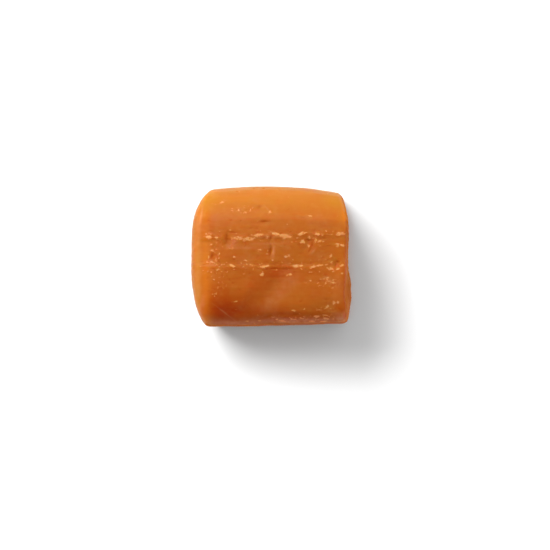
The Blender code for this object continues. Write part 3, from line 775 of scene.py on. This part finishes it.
def caramel_kinds(at, skin):
    """How much of each kind of caramel each point has, under the names that the material reads."""
    x, y, top, mottle, crevices = at.x, at.y, at.top, at.mottle, at.crevices

    # Painted light and shade: paler up the back shoulder, which faces the light, darker in the
    # patches on the front and in the crevices.
    tone = TONE_IN_THE_BAND + (1 - TONE_IN_THE_BAND) * rise(y, *BACK_SHOULDER)
    uneven = pattern("tones", at.places, skin.seed)
    tone += top * summed(x, y, TONE_AND_SHADE_PATCHES) + TONE_UNEVENNESS * uneven
    tone += TONE_MOTTLE * mottle + TONE_IN_LINES * at.drawn - CREVICE_SHADE_IN_TONE * crevices
    tone = np.clip(tone, 0, 1)

    # A pale film, partly a painted sheen along the rims and a painted highlight on the raised
    # lines.
    film = top * summed(x, y, FILM_AND_SHEEN_PATCHES) + FILM_IN_PATCHES * at.patchy
    film += FILM_AND_HIGHLIGHT_ON_RAISED_LINES * at.raised
    film += FILM_MOTTLE * mottle
    bright = strongest(x, y, BRIGHT_PATCHES) * at.upward

    # A darkening: veins and waves of handling, with painted shade added in the crevices and under
    # the front edge.
    veins = VEIN_STRENGTH * pattern("veins", at.places, skin.seed)
    veins += VEINS_FROM_HANDLING * at.handled
    veins *= VEINS_EVERYWHERE + VEINS_BELOW_TOP * at.below_top
    veins += VEINS_IN_RIND * at.rind
    veins += VEINS_IN_SCORES * at.cut_face * at.scores
    # Painted shade: a dark line along the bottom of the front edge.
    veins += PAINTED_SHADE_UNDER_FRONT * stroke(x, y, SHADED_FRONT_RIM)

    # Painted light and shade: steep skin facing the light takes the lit copy of the caramel, steep
    # skin facing away takes the shaded copy.
    side = np.maximum(at.steep, top * strongest(x, y, LIT_SIDE_PATCHES))
    cut = at.steep * at.away_from_light
    # Pits and deep patches take the pit colour, partly as painted shade.
    pit = np.maximum(PIT_IN_CREVICES * crevices * top, rise(at.z, *UPPER_HALF) * at.clear)
    matt = [cut, strongest(x, y, MATT_PATCHES), MATT_IN_CREVICES * crevices]
    return {
        "tone": tone,
        "side_caramel": side * (1 - at.away_from_light),
        "cut_caramel": cut * (SHADED_SIDE_AT_LEAST + SHADED_SIDE_BY_TONE * tone),
        "golden": top * strongest(x, y, GOLDEN_SHEEN_PATCHES),
        "bright_caramel": bright,
        "veins": np.maximum(veins, PAINTED_SHADE_IN_CREVICES * crevices),
        "blush": at.upward * strongest(x, y, BLUSH_AND_REFLECTION_PATCHES) * (1 + BLUSH_MOTTLE * mottle),
        "damp": stroke(x, y, FRONT_REFLECTION_STRIP),
        "pit": np.clip(pit, 0, 1),
        "matt": np.maximum.reduce(matt),
        "honey": np.clip(top * strongest(x, y, GLOW_PATCHES), 0, 1),
        "film": np.clip(film, 0, 1) * (1 - FILM_LOST_WHERE_BRIGHT * bright),
        "fleck": at.flecks,
        "rough": at.rough,
    }


def add_skin(piece, skin):
    """Moves the points into the relief of the skin, and stores the kinds of caramel there."""
    mesh = piece.data
    places, normals = arrays_of(mesh)
    at = read_facing(places, normals)
    read_patterns(at, skin)
    read_marks(at, skin)
    moved = places + normals * relief(at, skin)[:, None]
    moved[:, 2] = np.maximum(moved[:, 2], 0)
    mesh.vertices.foreach_set("co", moved.astype(np.float32).ravel())
    mesh.update()
    for name, values in caramel_kinds(at, skin).items():
        store(mesh, name, values)


# ---------------------------------------------------------------- the caramel material


# The sockets of a Mix node that mixes colours.
MIX_FACTOR, MIX_A, MIX_B = 0, 6, 7
MIX_RESULT = 2


class NodeBench:
    """Small helper that adds and links shader nodes."""

    def __init__(self, tree):
        self.tree = tree

    def add(self, kind, inputs=(), **settings):
        """A new node with its settings made and its inputs fed."""
        node = self.tree.nodes.new(kind)
        for name, value in settings.items():
            setattr(node, name, value)
        for key, value in dict(inputs).items():
            self.feed(node.inputs[key], value)
        return node

    def feed(self, socket, value):
        """Links an output to the socket, or sets a plain value on it."""
        if isinstance(value, bpy.types.NodeSocket):
            self.tree.links.new(value, socket)
        else:
            socket.default_value = value

    def math(self, operation, a, b=0.0, clamp=False):
        """One arithmetic step on two values."""
        node = self.add("ShaderNodeMath", {0: a, 1: b}, operation=operation, use_clamp=clamp)
        return node.outputs[0]

    def between(self, value, low, high, soft=True):
        """0 on the side of low and 1 on the side of high; low may be the larger of the two."""
        node = self.add(
            "ShaderNodeMapRange",
            {"Value": value, "From Min": low, "From Max": high},
            interpolation_type="SMOOTHSTEP" if soft else "LINEAR",
        )
        return node.outputs["Result"]

    def mix(self, share, a, b, blend="MIX"):
        """Colour a with a share of colour b laid over it."""
        node = self.add(
            "ShaderNodeMix",
            {MIX_FACTOR: share, MIX_A: a, MIX_B: b},
            data_type="RGBA",
            blend_type=blend,
        )
        return node.outputs[MIX_RESULT]

    def skin_value(self, name):
        """A number that the mesh keeps for each of its points."""
        return self.add("ShaderNodeAttribute", attribute_name=name).outputs["Fac"]

    def stretched(self, place, scale):
        """The same place, scaled along each axis."""
        return self.add("ShaderNodeMapping", {"Vector": place, "Scale": scale}).outputs["Vector"]

    def noise(self, place, scale, detail, roughness):
        """Noise of about 0 to 1, with its scale in cells to a metre."""
        node = self.add(
            "ShaderNodeTexNoise",
            {"Vector": place, "Scale": scale, "Detail": detail, "Roughness": roughness},
        )
        return node.outputs["Fac"]


# The kinds of caramel, each laid over the ones before it.
SKIN_KINDS = (
    "honey", "side_caramel", "cut_caramel", "bright_caramel", "golden", "film", "blush", "pit",
)

# Patterns finer than the mesh: cells to a metre, detail, roughness.
STREAKS = (2600.0, 4.0, 0.6)
FINE_GRAIN = (5200.0, 2.0, 0.55)
TORN_SUGAR = (3800.0, 4.0, 0.65)
SUGAR_WEB = (1700.0, 2.0, 0.55)
# They are drawn out along the rope.
STREAK_STRETCH = (0.10, 1.0, 1.0)
TORN_STRETCH = (0.4, 1.0, 1.0)
NOISE_MIDDLE = 0.5

STREAKS_IN_TONE = 0.16
# What darker veins in the caramel, and the painted shade in crevices and under the front edge,
# leave of its colour.
VEIN_SHADOW = (0.86, 0.72, 0.50, 1.0)
VEIN_RANGE = (-0.1, 1.0)

# Flecks have torn edges, and are palest where they are thick.
TORN_SHARE = 1.1
FLECK_EDGE = (0.76, 1.08)
THIN_TO_THICK = (0.90, 1.32)

# The fine strokes of sugar: half their width in the web, where they break off, how rough the skin
# is where they grow, and how much they cover.
CRYSTAL_WIDTH = 0.035
CRYSTAL_BREAKS = (0.42, 0.60)
CRYSTALLINE_SKIN = (0.50, 1.0)
CRYSTAL_COVER = 0.85

# The colour that light takes along when it bounces off the piece to something further away.
BOUNCE_GREY = (0.3, 0.3, 0.3, 1.0)
BOUNCE_FROM = 1.5 * MM
BOUNCE_SHARE = 0.85

FINE_ROUGHNESS = 0.12
FLECK_ROUGHNESS = 0.15
MATT_ROUGHNESS = 0.5
BUMP_STRENGTH = 0.25
BUMP_HEIGHT = 0.03 * MM
WAXY_SPECULAR = 0.12
# How deep green and blue light wander, beside red.
GREEN_GLOW = 0.36
BLUE_GLOW = 0.12


def sugar_colour(bench, colours, place, caramel):
    """The caramel with crystals and flecks of sugar laid over it, and where the flecks are."""
    torn_place = bench.stretched(place, TORN_STRETCH)
    torn = bench.noise(torn_place, *TORN_SUGAR)
    thin = tuple(colours.thin_fleck)

    web = bench.math("SUBTRACT", bench.noise(torn_place, *SUGAR_WEB), NOISE_MIDDLE)
    crystals = bench.between(bench.math("ABSOLUTE", web), CRYSTAL_WIDTH, 0.0)
    crystals = bench.math("MULTIPLY", crystals, bench.between(torn, *CRYSTAL_BREAKS))
    crystalline = bench.between(bench.skin_value("rough"), *CRYSTALLINE_SKIN)
    crystals = bench.math("MULTIPLY", crystals, crystalline)
    crystals = bench.math("MULTIPLY", crystals, CRYSTAL_COVER)
    caramel = bench.mix(crystals, caramel, thin)

    torn = bench.math("MULTIPLY", torn, TORN_SHARE)
    thickness = bench.math("ADD", bench.skin_value("fleck"), torn)
    fleck = bench.between(thickness, *FLECK_EDGE)
    fleck_colour = bench.mix(
        bench.between(thickness, *THIN_TO_THICK), thin, tuple(colours.fleck)
    )
    # Along the front edge the flecks take a painted pink reflection.
    fleck_colour = bench.mix(bench.skin_value("damp"), fleck_colour, tuple(colours.reflecting_fleck))
    return bench.mix(fleck, caramel, fleck_colour), fleck


def bounce_colour(bench, colour):
    """The floor beside the piece takes up less of its colour than a bare bounce would give it."""
    path = bench.add("ShaderNodeLightPath").outputs
    from_afar = bench.math("GREATER_THAN", path["Ray Length"], BOUNCE_FROM)
    bounce = bench.math("MULTIPLY", path["Is Diffuse Ray"], from_afar)
    return bench.mix(bench.math("MULTIPLY", bounce, BOUNCE_SHARE), colour, BOUNCE_GREY)


def caramel_material(colours):
    """The caramel: light wanders in it, and its skin is waxy, streaked and flecked with sugar."""
    material = bpy.data.materials.new("caramel_fudge")
    material.use_nodes = True
    bench = NodeBench(material.node_tree)
    shader = material.node_tree.nodes["Principled BSDF"]
    place = bench.add("ShaderNodeTexCoord").outputs["Object"]
    streaks = bench.noise(bench.stretched(place, STREAK_STRETCH), *STREAKS)
    fine = bench.noise(place, *FINE_GRAIN)

    streaked = bench.math("MULTIPLY", streaks, STREAKS_IN_TONE)
    tone = bench.math("ADD", bench.skin_value("tone"), streaked)
    tone = bench.math("SUBTRACT", tone, STREAKS_IN_TONE * NOISE_MIDDLE, clamp=True)
    caramel = bench.mix(tone, tuple(colours.deep_caramel), tuple(colours.pale_caramel))
    for kind in SKIN_KINDS:
        caramel = bench.mix(bench.skin_value(kind), caramel, tuple(getattr(colours, kind)))
    veins = bench.between(bench.skin_value("veins"), *VEIN_RANGE, soft=False)
    caramel = bench.mix(veins, caramel, VEIN_SHADOW, "MULTIPLY")
    colour, fleck = sugar_colour(bench, colours, place, caramel)
    bench.feed(shader.inputs["Base Color"], bounce_colour(bench, colour))

    smoothest = colours.roughness - FINE_ROUGHNESS * NOISE_MIDDLE
    rough = bench.math("ADD", smoothest, bench.math("MULTIPLY", fine, FINE_ROUGHNESS))
    rough = bench.math("ADD", rough, bench.math("MULTIPLY", fleck, FLECK_ROUGHNESS))
    matt = bench.math("MULTIPLY", bench.skin_value("matt"), MATT_ROUGHNESS)
    rough = bench.math("ADD", rough, matt, clamp=True)
    bench.feed(shader.inputs["Roughness"], rough)
    unevenness = bench.math("ADD", streaks, fine)
    bump = bench.add(
        "ShaderNodeBump",
        {"Strength": BUMP_STRENGTH, "Distance": BUMP_HEIGHT, "Height": unevenness},
    )
    bench.feed(shader.inputs["Normal"], bump.outputs["Normal"])

    glow = colours.depth_of_glow
    shader.inputs["Subsurface Weight"].default_value = 1.0
    shader.inputs["Subsurface Radius"].default_value = (glow, glow * GREEN_GLOW, glow * BLUE_GLOW)
    shader.inputs["Subsurface Scale"].default_value = 1.0
    shader.inputs["Specular IOR Level"].default_value = WAXY_SPECULAR
    return material


# ---------------------------------------------------------------- the studio


FLOOR_RADIUS = 2.5
FLOOR_SIDES = 96
FLOOR_ROUGHNESS = 0.9


def floor_material(settings):
    """A plain, pale, matt floor."""
    material = bpy.data.materials.new("studio_floor")
    material.use_nodes = True
    shader = material.node_tree.nodes["Principled BSDF"]
    shader.inputs["Base Color"].default_value = settings.floor_colour
    shader.inputs["Roughness"].default_value = FLOOR_ROUGHNESS
    shader.inputs["Specular IOR Level"].default_value = 0.0
    return material


def add_floor(settings):
    """A wide disc under the piece."""
    mesh = bpy.data.meshes.new("studio_floor")
    disc = bmesh.new()
    bmesh.ops.create_circle(disc, cap_ends=True, segments=FLOOR_SIDES, radius=FLOOR_RADIUS)
    disc.to_mesh(mesh)
    disc.free()
    floor = bpy.data.objects.new("studio_floor", mesh)
    floor.data.materials.append(floor_material(settings))
    bpy.context.scene.collection.objects.link(floor)


KEY_DISTANCE = 1.0
KEY_WIDTH, KEY_DEPTH = 0.74, 0.56


def add_key_light(settings):
    """A large soft lamp, aimed at the piece."""
    lamp = bpy.data.lights.new("soft_key", "AREA")
    lamp.shape = "RECTANGLE"
    lamp.size, lamp.size_y = KEY_WIDTH, KEY_DEPTH
    lamp.energy = settings.key_power
    level = math.cos(settings.key_elevation)
    towards = Vector(
        (
            level * math.cos(settings.key_azimuth),
            level * math.sin(settings.key_azimuth),
            math.sin(settings.key_elevation),
        )
    )
    holder = bpy.data.objects.new("soft_key", lamp)
    holder.location = towards * KEY_DISTANCE
    holder.rotation_euler = (-towards).to_track_quat("-Z", "Y").to_euler()
    bpy.context.scene.collection.objects.link(holder)


WHITE = (1, 1, 1, 1)
# The room is brighter towards the right and the back.
ROOM_LEAN = (0.50, 0.35, 0.0)
# The studio is dim overhead: gloss shows less of it than the matt surfaces gather.
GLOSS_DIMMING = 0.44


def add_room(settings):
    """The white room: it fills the shadows, and is plain white to look at."""
    world = bpy.data.worlds.new("white_room")
    world.use_nodes = True
    bench = NodeBench(world.node_tree)
    room = world.node_tree.nodes["Background"]
    room.inputs["Color"].default_value = WHITE
    path = bench.add("ShaderNodeLightPath").outputs
    towards = bench.add("ShaderNodeTexCoord").outputs["Generated"]
    lean = bench.add("ShaderNodeVectorMath", {0: towards, 1: ROOM_LEAN}, operation="DOT_PRODUCT")
    fill = bench.math("MULTIPLY_ADD", lean.outputs["Value"], settings.fill_strength)
    bench.feed(fill.node.inputs[2], settings.fill_strength)
    bright = bench.add(
        "ShaderNodeMapRange",
        {"Value": path["Is Camera Ray"], "To Min": fill, "To Max": 1.0},
    ).outputs["Result"]
    gloss = bench.math("MULTIPLY", path["Is Glossy Ray"], GLOSS_DIMMING)
    bench.feed(room.inputs["Strength"], bench.math("SUBTRACT", bright, gloss))
    bpy.context.scene.world = world


CAMERA_HEIGHT = 0.5
CAMERA_CLIP = 0.01
SENSOR_WIDTH = 36.0
# Where the middle of the view lies from the middle of the piece, in lengths of the piece.
VIEW_OFFSET = (0.0221, -0.1145)


def add_camera(settings):
    """A camera that looks straight down on the piece."""
    low, high = BOX_LOW, BOX_HIGH
    widest = (low.z + high.z) / 2
    view_width = PIECE_LENGTH / settings.share_of_view
    lens = bpy.data.cameras.new("overhead_camera")
    lens.sensor_width = SENSOR_WIDTH
    lens.lens = SENSOR_WIDTH * (CAMERA_HEIGHT - widest) / view_width
    lens.clip_start = CAMERA_CLIP
    camera = bpy.data.objects.new("overhead_camera", lens)
    camera.location = (
        (low.x + high.x) / 2 + VIEW_OFFSET[0] * PIECE_LENGTH,
        (low.y + high.y) / 2 + VIEW_OFFSET[1] * PIECE_LENGTH,
        CAMERA_HEIGHT,
    )
    bpy.context.scene.collection.objects.link(camera)
    bpy.context.scene.camera = camera


# ---------------------------------------------------------------- operators and panel


class FUDGE_OT_build_body(bpy.types.Operator):
    """Build the piece of fudge with its fine skin and caramel finish"""

    bl_idname = "fudge.build_body"
    bl_label = "Build Fudge"

    def execute(self, context):
        skin = context.scene.fudge_skin
        piece = refined_copy(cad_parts["fudge"], "fudge_piece", skin.fineness)
        add_skin(piece, skin)
        piece.data.materials.clear()
        piece.data.materials.append(caramel_material(context.scene.fudge_colours))
        piece.data.shade_smooth()
        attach(piece, "root")
        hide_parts("fudge")
        return {"FINISHED"}


class FUDGE_OT_build_studio(bpy.types.Operator):
    """Build the pale floor, the soft light, the white room and the camera"""

    bl_idname = "fudge.build_studio"
    bl_label = "Build Studio"

    def execute(self, context):
        settings = context.scene.fudge_studio
        add_floor(settings)
        add_key_light(settings)
        add_room(settings)
        add_camera(settings)
        context.scene.view_settings.view_transform = "Standard"
        return {"FINISHED"}


class FUDGE_PT_dresser(bpy.types.Panel):
    """Lists the builders and their settings"""

    bl_idname = "FUDGE_PT_dresser"
    bl_label = "Caramel Fudge"
    bl_space_type = "VIEW_3D"
    bl_region_type = "UI"
    bl_category = "Fudge"

    def draw(self, context):
        layout = self.layout
        scene = context.scene
        for title, settings, operator in (
            ("Skin", scene.fudge_skin, "fudge.build_body"),
            ("Colours", scene.fudge_colours, None),
            ("Studio", scene.fudge_studio, "fudge.build_studio"),
        ):
            box = layout.box()
            box.label(text=title)
            for name in settings.bl_rna.properties.keys():
                if name not in {"rna_type", "name"}:
                    box.prop(settings, name)
            if operator:
                box.operator(operator)


CLASSES = (
    FudgeSkinSettings,
    FudgeColourSettings,
    FudgeStudioSettings,
    FUDGE_OT_build_body,
    FUDGE_OT_build_studio,
    FUDGE_PT_dresser,
)
SCENE_SETTINGS = {
    "fudge_skin": FudgeSkinSettings,
    "fudge_colours": FudgeColourSettings,
    "fudge_studio": FudgeStudioSettings,
}


def register():
    for one in CLASSES:
        bpy.utils.register_class(one)
    for name, group in SCENE_SETTINGS.items():
        setattr(bpy.types.Scene, name, PointerProperty(type=group))


def unregister():
    for name in SCENE_SETTINGS:
        delattr(bpy.types.Scene, name)
    for one in reversed(CLASSES):
        bpy.utils.unregister_class(one)


def main():
    register()
    bpy.ops.fudge.build_body()
    bpy.ops.fudge.build_studio()


if __name__ == "__main__":
    main()
